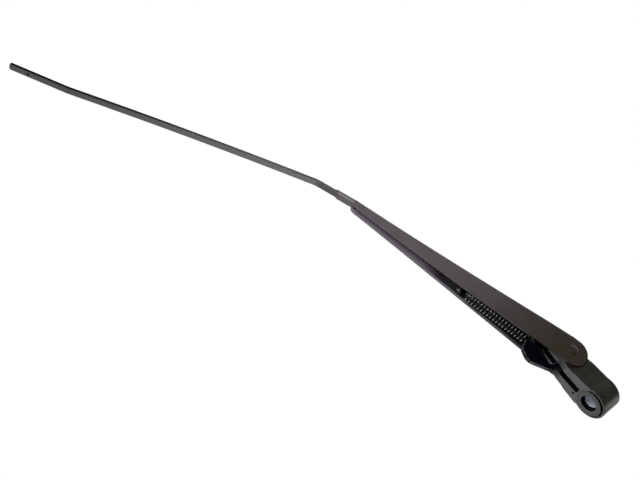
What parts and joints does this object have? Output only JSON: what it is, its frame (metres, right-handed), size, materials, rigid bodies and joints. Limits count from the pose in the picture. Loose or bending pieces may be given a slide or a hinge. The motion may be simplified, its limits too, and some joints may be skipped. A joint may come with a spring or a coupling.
{
  "type": "windscreen_wiper_arm",
  "caption": "Black car windscreen wiper arm: cast spindle head, hinged sheet channel with tension spring and hook link, and a bent flat strip to carry the blade.",
  "frame": {"origin": "on the spindle axis, at the lower end of the bore's wall", "axes": "+Z along the spindle, away from the glass; +X from the spindle towards the blade; +Y to the left seen from the spindle"},
  "size_m": [0.4308, 0.0248, 0.2072],
  "materials": {
    "cast_black": "satin",
    "bright_steel": "satin",
    "nylon": "satin",
    "channel_black": "satin",
    "strip_black": "satin",
    "link_black": "glossy",
    "spring_black": "satin"
  },
  "bodies": {
    "head": {"head": "cast_black", "link_pin": "bright_steel", "hinge_bush_left": "nylon", "hinge_bush_right": "nylon"},
    "channel": {"channel": "channel_black", "strip": "strip_black", "hinge_rivet": "channel_black"},
    "link": {"hook_link": "link_black", "tension_spring": "spring_black"}
  },
  "joints": [
    {"name": "arm_fold", "type": "hinge", "parent": "head", "child": "channel", "pos_m": [0.0333, 0, 0.0093], "axis": [0, -1, 0], "range_deg": [0, 95], "deforming": ["tension_spring"]},
    {"name": "link_turn", "type": "hinge", "parent": "head", "child": "link", "pos_m": [0.0308, 0, 0.0022], "axis": [0, -1, 0], "range_deg": [0, 90]}
  ],
  "couplings": [
    {"joint": "link_turn", "follows": "arm_fold", "ratio": 0.944}
  ]
}
